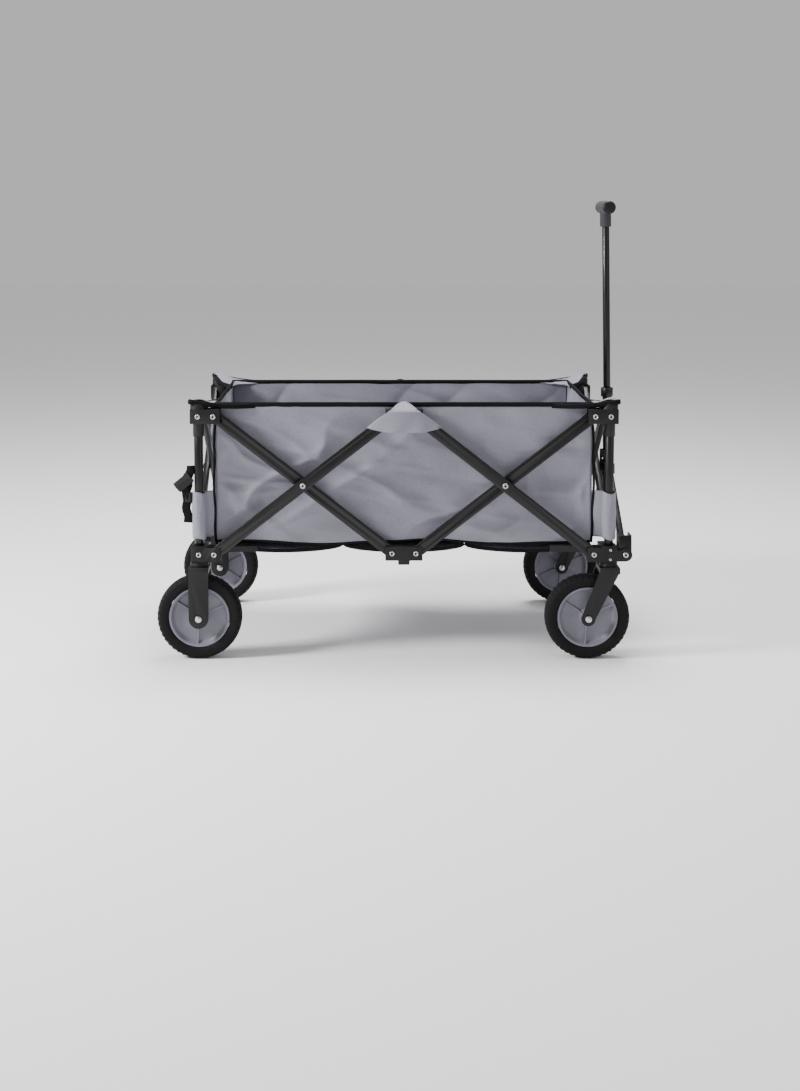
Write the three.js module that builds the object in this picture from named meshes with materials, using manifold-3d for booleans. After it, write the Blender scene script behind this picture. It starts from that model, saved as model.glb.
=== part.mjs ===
// Folding fabric wagon with a telescoping pull handle, standing open on its four wheels.
// Units are millimetres. +X points forward to the handle, +Z is up, and -Y is the right side.
// Every scissor bar has the same length, so all of them swing by one angle when the wagon folds.
import * as THREE from "three";
import { mergeVertices } from "three/addons/utils/BufferGeometryUtils.js";
import Module from "manifold-3d";

const wasm = await Module();
wasm.setup();

// ---- Driving dimensions ----
const BAR_LENGTH = 472; // pivot to pivot
const OPEN_ANGLE = THREE.MathUtils.degToRad(38); // of every bar above the horizontal
const BAR_HEIGHT = 24;
const BAR_THICK = 11;
const HUB_PIVOT = 25; // from the side's middle to each hub pivot
const LUG_ALONG = 32; // from a post's axis to its side bar's pivot
const LUG_ACROSS = 36; // from a post's axis to its end bar's pivot
const LOW_Z = 222; // height of the lower pivots
const WHEEL_RADIUS = 89;
const CASTER_TRAIL = 44;
const HANDLE_REACH = 34; // handle pivot, forward of the front posts
const HANDLE_LEAN = THREE.MathUtils.degToRad(1.1);
const HANDLE_TOP = 960;

// ---- Worked out from them ----
const SPAN = BAR_LENGTH * Math.cos(OPEN_ANGLE);
const RISE = BAR_LENGTH * Math.sin(OPEN_ANGLE);
const POST_X = HUB_PIVOT + SPAN + LUG_ALONG;
const POST_Y = SPAN / 2 + LUG_ACROSS;
const TOP_Z = LOW_Z + RISE;
const HANDLE_X = POST_X + HANDLE_REACH;
const PLATE_TIP = 14;
const CENTRE_SHIFT = (POST_X + WHEEL_RADIUS - HANDLE_X - PLATE_TIP) / 2; // middle of the whole length

// ---- Shared sizes ----
const PLANE_GAP = 14; // between the middles of two crossing bars
const OUTER_PLANE = -8; // side bars on the outside, measured inward from the post's axis
const INNER_PLANE = OUTER_PLANE + PLANE_GAP;
const END_PLANE = PLANE_GAP / 2; // end bars lie this far outside and inside the post's axis
const SLOT_WIDTH = BAR_THICK + 1;
const SLOT_START = 19; // a bar's round end stops short of this
const PIN_RADIUS = 4;
const PIN_HOLE = 4.5;
const PIN_SIDES = 8;
const BLOCK = { along: 16, outside: 17, inside: 15, half: 15 };
const LUG_END = 14; // lug beyond its pivot
const CLEAR = 0.3;

// ---- Finishes ----
const finish = (color, roughness, metalness) => ({ color, roughness, metalness });
const STEEL = finish(0x17181b, 0.38, 0.5);
const PLASTIC = finish(0x131417, 0.55, 0);
const RUBBER = finish(0x161618, 0.85, 0);
const RIM_GREY = finish(0x7c7a84, 0.5, 0);
const BOLT = finish(0xb9bbbf, 0.3, 0.9);
const FABRIC = finish(0x8b8a97, 0.9, 0);

const wagon = new THREE.Group();
wagon.position.x = CENTRE_SHIFT;

// ---- Solid helpers ----
function toSolid(geometry) {
  const bare = geometry.clone();
  bare.deleteAttribute("normal");
  bare.deleteAttribute("uv");
  const merged = mergeVertices(bare, 1e-4);
  const vertProperties = new Float32Array(merged.attributes.position.array);
  const triVerts = new Uint32Array(merged.index.array);
  return new wasm.Manifold(new wasm.Mesh({ numProp: 3, vertProperties, triVerts }));
}

function toGeometry(solid) {
  const mesh = solid.getMesh();
  const geometry = new THREE.BufferGeometry();
  geometry.setAttribute("position", new THREE.BufferAttribute(mesh.vertProperties, 3));
  geometry.setIndex(new THREE.BufferAttribute(mesh.triVerts, 1));
  geometry.computeVertexNormals();
  return geometry;
}

const joined = (pieces) => pieces.reduce((whole, piece) => whole.add(piece));
const cutBy = (solid, tools) => tools.reduce((left, tool) => left.subtract(tool), solid);

function box(x, y, z) {
  const size = [x, y, z].map(([a, b]) => Math.abs(b - a));
  const middle = [x, y, z].map(([a, b]) => (a + b) / 2);
  return toSolid(new THREE.BoxGeometry(...size).translate(...middle));
}

function rod(axis, radius, ends, at, sides = PIN_SIDES) {
  const length = Math.abs(ends[1] - ends[0]);
  const geometry = new THREE.CylinderGeometry(radius, radius, length, sides);
  const middle = (ends[0] + ends[1]) / 2;
  if (axis === "x") geometry.rotateZ(Math.PI / 2).translate(middle, at[0], at[1]);
  if (axis === "y") geometry.translate(at[0], middle, at[1]);
  if (axis === "z") geometry.rotateX(Math.PI / 2).translate(at[0], at[1], middle);
  return toSolid(geometry);
}

function turned(profile, segments) {
  const points = profile.map(([r, h]) => new THREE.Vector2(r, h));
  return new THREE.LatheGeometry(points, segments);
}

function tube(radius, bore, low, high, sides = 16) {
  const outline = [[bore, low], [radius, low], [radius, high], [bore, high], [bore, low]];
  return turned(outline, sides).rotateX(Math.PI / 2);
}

function addMesh(name, shape, look, parent = wagon) {
  const geometry = shape.isBufferGeometry ? shape : toGeometry(shape);
  const mesh = new THREE.Mesh(geometry, new THREE.MeshStandardMaterial(look));
  mesh.name = name;
  parent.add(mesh);
  return mesh;
}

// ---- Scissor bars ----
function barGeometry(length, height, thick, holes) {
  const half = height / 2;
  const shape = new THREE.Shape();
  shape.moveTo(0, -half);
  shape.lineTo(length, -half);
  shape.absarc(length, 0, half, -Math.PI / 2, Math.PI / 2, false);
  shape.absarc(0, 0, half, Math.PI / 2, Math.PI * 1.5, false);
  for (const at of holes) {
    const hole = new THREE.Path();
    hole.absarc(at, 0, PIN_HOLE, 0, Math.PI * 2, true);
    shape.holes.push(hole);
  }
  const options = { depth: thick, bevelEnabled: false, curveSegments: 4 };
  return new THREE.ExtrudeGeometry(shape, options).translate(0, 0, -thick / 2);
}

function crossPin(outward) {
  const face = BAR_THICK / 2;
  const farFace = PLANE_GAP + face;
  const middle = [BAR_LENGTH / 2, 0];
  const shaft = [outward * face, -outward * (farFace + 2)];
  const outerHead = [outward * (face - 1), outward * (face + 2.5)];
  const innerHead = [-outward * (farFace + CLEAR), -outward * (farFace + 2.4)];
  return [
    rod("z", PIN_RADIUS, shaft, middle),
    rod("z", 7, outerHead, middle),
    rod("z", 7, innerHead, middle),
  ];
}

function addBar(name, start, direction, thickAxis, pinOutward = 0) {
  const blank = barGeometry(BAR_LENGTH, BAR_HEIGHT, BAR_THICK, [0, BAR_LENGTH / 2, BAR_LENGTH]);
  const closed = barGeometry(BAR_LENGTH, BAR_HEIGHT, BAR_THICK, [0, BAR_LENGTH]);
  const shape = pinOutward ? joined([toSolid(closed), ...crossPin(pinOutward)]) : blank;
  const mesh = addMesh(name, shape, STEEL);
  const upward = new THREE.Vector3().crossVectors(thickAxis, direction);
  const basis = new THREE.Matrix4().makeBasis(direction, upward, thickAxis);
  mesh.quaternion.setFromRotationMatrix(basis);
  mesh.position.copy(start);
}

const ENDS = { rear: -1, front: 1 };
const SIDES = { right: -1, left: 1 };
const ALONG_Y = new THREE.Vector3(0, 1, 0);
const ALONG_X = new THREE.Vector3(1, 0, 0);
const cosine = Math.cos(OPEN_ANGLE);
const sine = Math.sin(OPEN_ANGLE);

function addSideBars(endName, ex, sideName, sy) {
  const tag = `${endName}_${sideName}`;
  const innerStart = new THREE.Vector3(ex * HUB_PIVOT, sy * (POST_Y - INNER_PLANE), LOW_Z);
  addBar(`inner_bar_${tag}`, innerStart, new THREE.Vector3(ex * cosine, 0, sine), ALONG_Y);
  const outerX = ex * (POST_X - LUG_ALONG);
  const outerStart = new THREE.Vector3(outerX, sy * (POST_Y - OUTER_PLANE), LOW_Z);
  addBar(`outer_bar_${tag}`, outerStart, new THREE.Vector3(-ex * cosine, 0, sine), ALONG_Y, sy);
}

function addEndBars(endName, ex) {
  const startY = POST_Y - LUG_ACROSS;
  const outer = new THREE.Vector3(ex * (POST_X + END_PLANE), -startY, LOW_Z);
  addBar(`end_bar_outer_${endName}`, outer, new THREE.Vector3(0, cosine, sine), ALONG_X, ex);
  const inner = new THREE.Vector3(ex * (POST_X - END_PLANE), startY, LOW_Z);
  addBar(`end_bar_inner_${endName}`, inner, new THREE.Vector3(0, -cosine, sine), ALONG_X);
}

// ---- Corner pieces: u runs inward along the wagon and v inward across it, from the post's axis ----
function cornerBox(c, u, v, z) {
  const x = u.map((value) => c.ex * (POST_X - value));
  const y = v.map((value) => c.sy * (POST_Y - value));
  return box(x, y, z);
}

function cornerRod(c, axis, radius, ends, at, sides) {
  if (axis === "y") {
    const span = ends.map((v) => c.sy * (POST_Y - v));
    return rod("y", radius, span, [c.ex * (POST_X - at[0]), at[1]], sides);
  }
  if (axis === "x") {
    const span = ends.map((u) => c.ex * (POST_X - u));
    return rod("x", radius, span, [c.sy * (POST_Y - at[0]), at[1]], sides);
  }
  return rod("z", radius, ends, [c.ex * (POST_X - at[0]), c.sy * (POST_Y - at[1])], sides);
}

// A block round the post with one forked lug for the side bar and one for the end bar.
function bracketSolid(c, pivotZ, sidePlane, endPlane, sideInside) {
  const z = [pivotZ - BLOCK.half, pivotZ + BLOCK.half];
  const through = [z[0] - 1, z[1] + 1];
  const half = SLOT_WIDTH / 2;
  const sideEnd = LUG_ALONG + LUG_END;
  const endEnd = LUG_ACROSS + LUG_END;
  const body = joined([
    cornerBox(c, [-BLOCK.along, BLOCK.along], [-BLOCK.outside, BLOCK.inside], z),
    cornerBox(c, [BLOCK.along - 1, sideEnd], [-BLOCK.outside, sideInside], z),
    cornerBox(c, [-BLOCK.along, BLOCK.along], [BLOCK.inside - 1, endEnd], z),
  ]);
  const sideSlot = [sidePlane - half, sidePlane + half];
  const endSlot = [endPlane - half, endPlane + half];
  const opened = cutBy(body, [
    cornerBox(c, [SLOT_START, sideEnd + 1], sideSlot, through),
    cornerBox(c, endSlot, [SLOT_START + 4, endEnd + 1], through),
  ]);
  return joined([
    opened,
    cornerRod(c, "y", PIN_RADIUS, [-BLOCK.outside, sideInside], [LUG_ALONG, pivotZ]),
    cornerRod(c, "x", PIN_RADIUS, [-BLOCK.along, BLOCK.along], [LUG_ACROSS, pivotZ]),
  ]);
}

const LOWER_POST = { radius: 9.5, bore: 8.2, low: 208, high: 494 };
const UPPER_POST = { radius: 7.7, bore: 6, low: 228, high: 525 };
const FLOOR_ARM = { reach: 122, across: [3, BLOCK.inside], z: [224, 237] };
const SKIRT = { radius: 11.5, low: 470 };
const CAP = { radius: 17, low: 526, shoulder: 538, top: 546 };

function addPosts(c) {
  const at = [c.ex * POST_X, c.sy * POST_Y, 0];
  const posts = [["lower_post", LOWER_POST], ["upper_post", UPPER_POST]];
  for (const [name, p] of posts) {
    const mesh = addMesh(`${name}_${c.tag}`, tube(p.radius, p.bore, p.low, p.high), STEEL);
    mesh.position.set(...at);
  }
}

function addBottomBracket(c) {
  const endPlane = c.sy * END_PLANE; // right corners hold the outer end bar, left the inner
  const body = bracketSolid(c, LOW_Z, OUTER_PLANE, endPlane, 2);
  const pieces = [
    body,
    cornerBox(c, [-BLOCK.along, BLOCK.along], [-BLOCK.outside, BLOCK.inside], [205, 240]),
    cornerBox(c, [BLOCK.along - 1, FLOOR_ARM.reach], FLOOR_ARM.across, FLOOR_ARM.z),
  ];
  if (c.ex > 0) pieces.push(...handlePlate(c));
  const postHole = cornerRod(c, "z", LOWER_POST.radius + 0.4, [204, 241], [0, 0], 16);
  const tools = [postHole];
  if (c.ex > 0) {
    const pinSpan = [-BLOCK.outside - 1, -BLOCK.outside + 8];
    tools.push(cornerRod(c, "y", 5.5, pinSpan, [-HANDLE_REACH, LOW_Z], 12));
  }
  addMesh(`bottom_bracket_${c.tag}`, cutBy(joined(pieces), tools), PLASTIC);
}

// A plate on the front brackets that carries the handle's pivot.
function handlePlate(c) {
  const v = [-BLOCK.outside, -BLOCK.outside + 6];
  return [
    cornerBox(c, [-HANDLE_REACH, -BLOCK.along + 1], v, [LOW_Z - PLATE_TIP, LOW_Z + 10]),
    cornerRod(c, "y", PLATE_TIP, v, [-HANDLE_REACH, LOW_Z], 16),
  ];
}

function addTopBracket(c) {
  const endPlane = -c.sy * END_PLANE; // the other way round from the bottom
  const body = bracketSolid(c, TOP_Z, INNER_PLANE, endPlane, BLOCK.inside);
  const cap = turned(
    [[0, CAP.low], [CAP.radius, CAP.low], [CAP.radius, CAP.shoulder], [11, CAP.top - 1], [0, CAP.top]],
    16,
  );
  cap.rotateX(Math.PI / 2).translate(c.ex * POST_X, c.sy * POST_Y, 0);
  const skirt = cornerRod(c, "z", SKIRT.radius, [SKIRT.low, TOP_Z - BLOCK.half + 1], [0, 0], 16);
  const whole = joined([body, toSolid(cap), skirt]);
  const bores = [
    cornerRod(c, "z", LOWER_POST.radius + 0.4, [SKIRT.low - 1, LOWER_POST.high + 2], [0, 0], 16),
    cornerRod(c, "z", UPPER_POST.radius + 0.4, [SKIRT.low, UPPER_POST.high + 1], [0, 0], 16),
  ];
  addMesh(`top_bracket_${c.tag}`, cutBy(whole, bores), PLASTIC);
}

// ---- Hubs in the middle of each side ----
function addHub(name, sy, z, plane, v, webLow) {
  const spanY = (range) => range.map((value) => sy * (POST_Y - value));
  const reach = HUB_PIVOT + LUG_END;
  const half = SLOT_WIDTH / 2;
  const slot = spanY([plane - half, plane + half]);
  const webHalf = HUB_PIVOT - BAR_HEIGHT / 2 - 1;
  const height = [z - BLOCK.half, z + BLOCK.half];
  const through = [z - BLOCK.half - 1, z + BLOCK.half + 1];
  let body = box([-reach, reach], spanY(v), height);
  body = cutBy(body, [
    box([webHalf, reach + 1], slot, through),
    box([-reach - 1, -webHalf], slot, through),
  ]);
  const pins = [-1, 1].map((s) => rod("y", PIN_RADIUS, spanY(v), [s * HUB_PIVOT, z]));
  const lowLug = box([-webHalf, webHalf], spanY(v), [webLow, z]);
  addMesh(name, joined([body, ...pins, lowLug]), PLASTIC);
}

// ---- Wheels ----
const FORK = { plate: [26, 30], crown: [184, 197], race: [196, 205 - CLEAR], pin: 226 };

function addFork(c) {
  const trail = c.ex > 0 ? -CASTER_TRAIL : 0;
  const tip = c.ex > 0 ? 15 : 20.5; // rear forks are straight, casters taper
  const outline = new THREE.Shape();
  outline.moveTo(-21, 190);
  outline.lineTo(trail - tip, WHEEL_RADIUS + 2);
  outline.absarc(trail, WHEEL_RADIUS, tip, Math.PI, Math.PI * 2, false);
  outline.lineTo(21, 190);
  const depth = FORK.plate[1] - FORK.plate[0];
  const cheek = (y) => {
    const geometry = new THREE.ExtrudeGeometry(outline, { depth, bevelEnabled: false, curveSegments: 5 });
    return toSolid(geometry.rotateX(Math.PI / 2).translate(0, y + depth, 0));
  };
  const whole = joined([
    cheek(FORK.plate[0]),
    cheek(-FORK.plate[1]),
    box([-21, 21], [-FORK.plate[1], FORK.plate[1]], FORK.crown),
    rod("z", 19, FORK.race, [0, 0], 16),
    rod("z", 5.5, [FORK.crown[0], FORK.pin], [0, 0], 12),
  ]);
  const hole = rod("y", 4.4, [-31, 31], [trail, WHEEL_RADIUS], 12);
  const mesh = addMesh(`fork_${c.tag}`, cutBy(whole, [hole]), PLASTIC);
  mesh.position.set(c.ex * POST_X, c.sy * POST_Y, 0);
}

const TYRE_PROFILE = [[64, -15], [82, -18.5], [89, -9], [89, 9], [82, 18.5], [64, 15]];
const RIM_PROFILE = [[4.5, -24], [15, -24], [17, -8], [55, -5], [63.5, -15]];
const WHEEL_SIDES = 20; // a multiple of four, so that a corner of the tyre stands on the floor

function addWheel(c) {
  const trail = c.ex > 0 ? -CASTER_TRAIL : 0;
  const centre = [c.ex * POST_X + trail, c.sy * POST_Y, WHEEL_RADIUS];
  const tyre = turned([...TYRE_PROFILE, TYRE_PROFILE[0]], WHEEL_SIDES);
  const outward = RIM_PROFILE.map(([r, h]) => [r, -h]).reverse();
  const rim = turned([...RIM_PROFILE, ...outward, RIM_PROFILE[0]], WHEEL_SIDES);
  const turn = (mesh) => mesh.position.set(...centre);
  turn(addMesh(`tyre_${c.tag}`, tyre, RUBBER));
  turn(addMesh(`rim_${c.tag}`, rim, RIM_GREY));
  const head = FORK.plate[1] + CLEAR;
  const bolt = joined([
    rod("y", PIN_RADIUS, [-head - 1, head + 1], [0, 0]),
    rod("y", 7, [head, head + 3.5], [0, 0], 12),
    rod("y", 7, [-head - 3.5, -head], [0, 0], 12),
  ]);
  turn(addMesh(`axle_${c.tag}`, bolt, BOLT));
}

// ---- Pull handle: everything below is measured from its pivot line, then leaned back ----
const handle = new THREE.Group();
handle.position.set(HANDLE_X, 0, LOW_Z);
handle.rotation.y = -HANDLE_LEAN;
wagon.add(handle);

const HEAD_PIVOT = 22; // from the handle's middle to each arm's upper pivot
const ARM_LENGTH = BAR_LENGTH / 2;
const ARM = { height: 15, thick: 13 };
const HEAD_Z = ARM_LENGTH * sine;
const FOOT_Y = HEAD_PIVOT + ARM_LENGTH * cosine;
const OUTER_TUBE = { radius: 10, bore: 8.6, low: 18, high: 315 };
const INNER_TUBE = { radius: 8, bore: 6, low: 268, high: 706 };
const GRIP = { radius: 14.5, half: 59, neck: 12.3 };

function addHandleFoot(sideName, sy) {
  const y = (range) => range.map((value) => sy * value);
  const outerWall = POST_Y + BLOCK.outside - 6 - CLEAR;
  const cheekY = [FOOT_Y - 9, outerWall];
  const pieces = [
    box([-13.5, -10], y(cheekY), [-8, 40]),
    box([10, 13.5], y(cheekY), [-8, 40]),
    box([-13.5, 13.5], y([outerWall - 4, outerWall]), [-8, 40]),
    box([-13.5, 13.5], y([FOOT_Y + 9, outerWall]), [-8, 6]),
    rod("x", 3.9, [-13.5, 13.5], [sy * FOOT_Y, 0]),
    rod("y", 5, y([outerWall - 2, outerWall + 7]), [0, 0], 12),
  ];
  addMesh(`handle_foot_${sideName}`, joined(pieces), STEEL, handle);
}

function addHandleArm(sideName, sy) {
  const shape = barGeometry(ARM_LENGTH, ARM.height, ARM.thick, [0, ARM_LENGTH]);
  const mesh = addMesh(`handle_arm_${sideName}`, shape, STEEL, handle);
  const direction = new THREE.Vector3(0, -sy * cosine, sine);
  const upward = new THREE.Vector3().crossVectors(ALONG_X, direction);
  mesh.quaternion.setFromRotationMatrix(new THREE.Matrix4().makeBasis(direction, upward, ALONG_X));
  mesh.position.set(0, sy * FOOT_Y, 0);
}

function addHandleHead() {
  const cheeks = [[-11, -7.5], [7.5, 11]].map((x) => box(x, [-34, 34], [HEAD_Z - 11, HEAD_Z + 11]));
  const pins = [-1, 1].map((s) => rod("x", 3.9, [-11, 11], [s * HEAD_PIVOT, HEAD_Z]));
  const barrel = rod("z", 12, [HEAD_Z - 16, HEAD_Z + 16], [0, 0], 16);
  const bore = rod("z", OUTER_TUBE.radius + 0.4, [HEAD_Z - 20, HEAD_Z + 20], [0, 0], 16);
  addMesh("handle_head", cutBy(joined([...cheeks, ...pins, barrel]), [bore]), PLASTIC, handle);
}

function addHandleTubes() {
  const t = OUTER_TUBE;
  const collar = tube(13.5, t.bore, t.high - 12, t.high + 8);
  const outer = joined([toSolid(tube(t.radius, t.bore, t.low, t.high)), toSolid(collar)]);
  addMesh("handle_outer_tube", outer, STEEL, handle);
  const inner = tube(INNER_TUBE.radius, INNER_TUBE.bore, INNER_TUBE.low, INNER_TUBE.high);
  addMesh("handle_inner_tube", inner, STEEL, handle);
}

function addGrip() {
  const top = HANDLE_TOP - LOW_Z;
  const centre = top - GRIP.radius;
  const g = GRIP;
  const bar = turned([[0, -g.half], [11, -g.half], [g.radius, -g.half + 5], [g.radius, g.half - 5],
    [11, g.half], [0, g.half]], 20).translate(0, 0, centre);
  const neck = rod("z", g.neck, [centre - 42, centre], [0, 0], 16);
  const socket = rod("z", INNER_TUBE.radius + CLEAR, [centre - 43, INNER_TUBE.high + CLEAR], [0, 0], 16);
  addMesh("handle_grip", cutBy(joined([toSolid(bar), neck]), [socket]), RUBBER, handle);
}

// ---- Spring clip that parks the handle, on the front scissor's crossing ----
function addHandleClip() {
  const barFace = POST_X + END_PLANE + BAR_THICK / 2;
  const back = [barFace + 2.8, barFace + 4.3]; // thin, so that the head passes it while folding
  const middle = LOW_Z + RISE / 2;
  const jaw = [middle + 22, middle + 38];
  addMesh("handle_clip", joined([
    box(back, [-14, 14], [middle - 8, jaw[1]]),
    box([back[0], HANDLE_X + 4], [11, 14], jaw),
    box([back[0], HANDLE_X + 4], [-14, -11], jaw),
  ]), PLASTIC);
}

// ---- Fabric basket and its padded floor ----
const BASKET = { x: 398, y: 203, low: 240, high: 536, cloth: 3 };
const SLEEVE = { radius: 14, bore: 11, low: 253, high: 352 };
const MAT = { gap: 6, thick: 14 };

function addBasket(corners) {
  const b = BASKET;
  const inner = [b.x - b.cloth, b.y - b.cloth];
  const shell = box([-b.x, b.x], [-b.y, b.y], [b.low, b.high]).subtract(
    box([-inner[0], inner[0]], [-inner[1], inner[1]], [b.low + b.cloth, b.high + 1]),
  );
  const sleeves = corners.map((c) => {
    const band = [SLEEVE.low, SLEEVE.high];
    const ring = cornerRod(c, "z", SLEEVE.radius, band, [0, 0], 16);
    const web = cornerBox(c, [6, POST_X - b.x + 1], [11, POST_Y - b.y + 1], band);
    const bore = cornerRod(c, "z", SLEEVE.bore, [band[0] - 1, band[1] + 1], [0, 0], 16);
    return ring.add(web).subtract(bore);
  });
  addMesh("basket", joined([shell, ...sleeves]), FABRIC);
}

function addMat(name, ex) {
  const low = BASKET.low + BASKET.cloth + CLEAR;
  const y = BASKET.y - BASKET.cloth - MAT.gap;
  const x = BASKET.x - BASKET.cloth - MAT.gap;
  addMesh(name, box([ex * 1.5, ex * x], [-y, y], [low, low + MAT.thick]), FABRIC);
}

// ---- Assembly ----
const corners = [];
for (const [endName, ex] of Object.entries(ENDS)) {
  for (const [sideName, sy] of Object.entries(SIDES)) {
    corners.push({ tag: `${endName}_${sideName}`, ex, sy });
    addSideBars(endName, ex, sideName, sy);
  }
  addEndBars(endName, ex);
  addMat(`floor_mat_${endName}`, ex);
}
for (const c of corners) {
  addPosts(c);
  addBottomBracket(c);
  addTopBracket(c);
  addFork(c);
  addWheel(c);
}
for (const [sideName, sy] of Object.entries(SIDES)) {
  addHub(`hub_bottom_${sideName}`, sy, LOW_Z, INNER_PLANE, [-5, BLOCK.inside], 198);
  addHub(`hub_top_${sideName}`, sy, TOP_Z, OUTER_PLANE, [-BLOCK.outside, 14], TOP_Z - BLOCK.half);
  addHandleFoot(sideName, sy);
  addHandleArm(sideName, sy);
}
addHandleHead();
addHandleTubes();
addGrip();
addHandleClip();
addBasket(corners);

export default wagon;
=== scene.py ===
"""Folding wagon: cloth basket, padded floor, wheels, grip and finishes laid over the jointed frame."""

import math

import bmesh
import bpy
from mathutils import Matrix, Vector, noise


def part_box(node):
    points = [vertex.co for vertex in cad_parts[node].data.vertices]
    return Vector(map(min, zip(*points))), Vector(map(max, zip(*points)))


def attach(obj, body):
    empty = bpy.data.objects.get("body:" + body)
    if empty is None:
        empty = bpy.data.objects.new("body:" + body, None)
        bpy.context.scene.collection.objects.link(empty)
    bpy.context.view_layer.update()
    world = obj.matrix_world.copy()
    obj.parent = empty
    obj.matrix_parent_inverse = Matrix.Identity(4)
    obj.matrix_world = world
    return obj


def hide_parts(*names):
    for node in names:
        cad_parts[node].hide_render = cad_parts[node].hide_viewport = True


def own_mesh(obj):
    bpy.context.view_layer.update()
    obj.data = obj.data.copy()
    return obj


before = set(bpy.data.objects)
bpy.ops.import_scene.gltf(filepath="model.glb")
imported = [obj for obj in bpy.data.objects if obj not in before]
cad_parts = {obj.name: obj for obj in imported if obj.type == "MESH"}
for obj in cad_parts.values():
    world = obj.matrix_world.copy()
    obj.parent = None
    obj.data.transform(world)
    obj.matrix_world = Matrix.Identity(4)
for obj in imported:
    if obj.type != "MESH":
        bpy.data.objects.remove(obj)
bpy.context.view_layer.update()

bl_info = {
    "name": "Folding Wagon",
    "version": (1, 0, 0),
    "blender": (4, 5, 0),
    "location": "View3D > Sidebar > Wagon",
    "description": "Builds a folding cloth wagon with a pull handle over its jointed frame",
    "category": "Object",
}

ENDS = {"rear": -1, "front": 1}
SIDES = {"right": -1, "left": 1}
CORNERS = [(e, ex, s, sy) for e, ex in ENDS.items() for s, sy in SIDES.items()]


def middle(node):
    """Middle of a frame piece at rest."""
    low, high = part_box(node)
    return (Vector(low) + Vector(high)) / 2


MID_X = middle("hub_top_right").x
POST = {(e, s): middle(f"lower_post_{e}_{s}") for e, _, s, _ in CORNERS}
POST_Y = POST["rear", "left"].y
PIVOT_RISE = 0.2906  # from the lower pivots up to the upper ones
TOP_Z = middle("hub_top_right").z
LOW_Z = TOP_Z - PIVOT_RISE
BRACKET_FACE = POST_Y + 0.017  # outer face of the brackets and top hubs
WALL_X = 0.3955  # half the basket's length
WALL_Y = 0.2015  # half its width
WALL_LOW = 0.241  # height of its lower hem
WALL_TOP = 0.537  # height of its rim
CLOTH_ROOM = 0.0055  # a wall bulges out no further, clear of the bars outside it


# ---- Settings ----
class WagonColours(bpy.types.PropertyGroup):
    """Colours of the wagon's finishes."""

    def tint(name, words, value):
        return bpy.props.FloatVectorProperty(
            name=name, description=words, subtype="COLOR", size=3, min=0, max=1, default=value
        )

    cloth: tint("Cloth", "Main basket cloth", (0.245, 0.238, 0.292))
    cloth_dark: tint("Cloth shade", "Darker yarn in the basket cloth", (0.165, 0.160, 0.205))
    binding: tint("Binding", "Edge tape, piping and webbing", (0.003, 0.003, 0.0035))
    coat: tint("Frame coat", "Powder coat on bars and posts", (0.0035, 0.0035, 0.004))
    moulding: tint("Mouldings", "Moulded corner pieces and forks", (0.0035, 0.0035, 0.004))
    rim: tint("Rims", "Moulded wheel rims", (0.16, 0.155, 0.19))
    tyre: tint("Tyres", "Solid tyres", (0.0045, 0.0043, 0.0048))
    steel: tint("Bolts", "Plated bolts and rivets", (0.55, 0.55, 0.56))
    grip: tint("Grip", "Soft grip", (0.035, 0.034, 0.04))


class WagonSizes(bpy.types.PropertyGroup):
    """Sizes of the wagon's soft pieces and tyres."""

    def length(name, words, value):
        return bpy.props.FloatProperty(
            name=name, description=words, default=value, min=0, unit="LENGTH", subtype="DISTANCE"
        )

    cloth_thick: length("Cloth thickness", "Thickness of the basket walls", 0.0018)
    crease: length("Crease depth", "How far the walls move in and out", 0.024)
    tape: length("Edge tape", "Height of the black tape along the rim", 0.0105)
    piping: length("Piping", "Radius of the cord sewn along the seams", 0.0026)
    pad: length("Floor padding", "Thickness of the padded floor", 0.014)
    tread: length("Tread depth", "Depth of the grooves across the tyres", 0.0026)


# ---- Surface effects shared by the materials ----
def effect_group(name, inputs, outputs):
    group = bpy.data.node_groups.new(name, "ShaderNodeTree")
    for label, value in inputs:
        socket = group.interface.new_socket(label, in_out="INPUT", socket_type="NodeSocketFloat")
        socket.default_value = value
    for label in outputs:
        group.interface.new_socket(label, in_out="OUTPUT", socket_type="NodeSocketFloat")
    return group, group.nodes.new("NodeGroupInput"), group.nodes.new("NodeGroupOutput")


def math_node(tree, operation, first, second):
    node = tree.nodes.new("ShaderNodeMath")
    node.operation = operation
    for socket, value in zip(node.inputs, (first, second)):
        if isinstance(value, (int, float)):
            socket.default_value = value
        else:
            tree.links.new(value, socket)
    return node.outputs[0]


def noise_node(tree, vector, scale, detail=3.0):
    node = tree.nodes.new("ShaderNodeTexNoise")
    node.inputs["Detail"].default_value = detail
    tree.links.new(vector, node.inputs["Vector"])
    if isinstance(scale, (int, float)):
        node.inputs["Scale"].default_value = scale
    else:
        tree.links.new(scale, node.inputs["Scale"])
    return node.outputs["Fac"]


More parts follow.
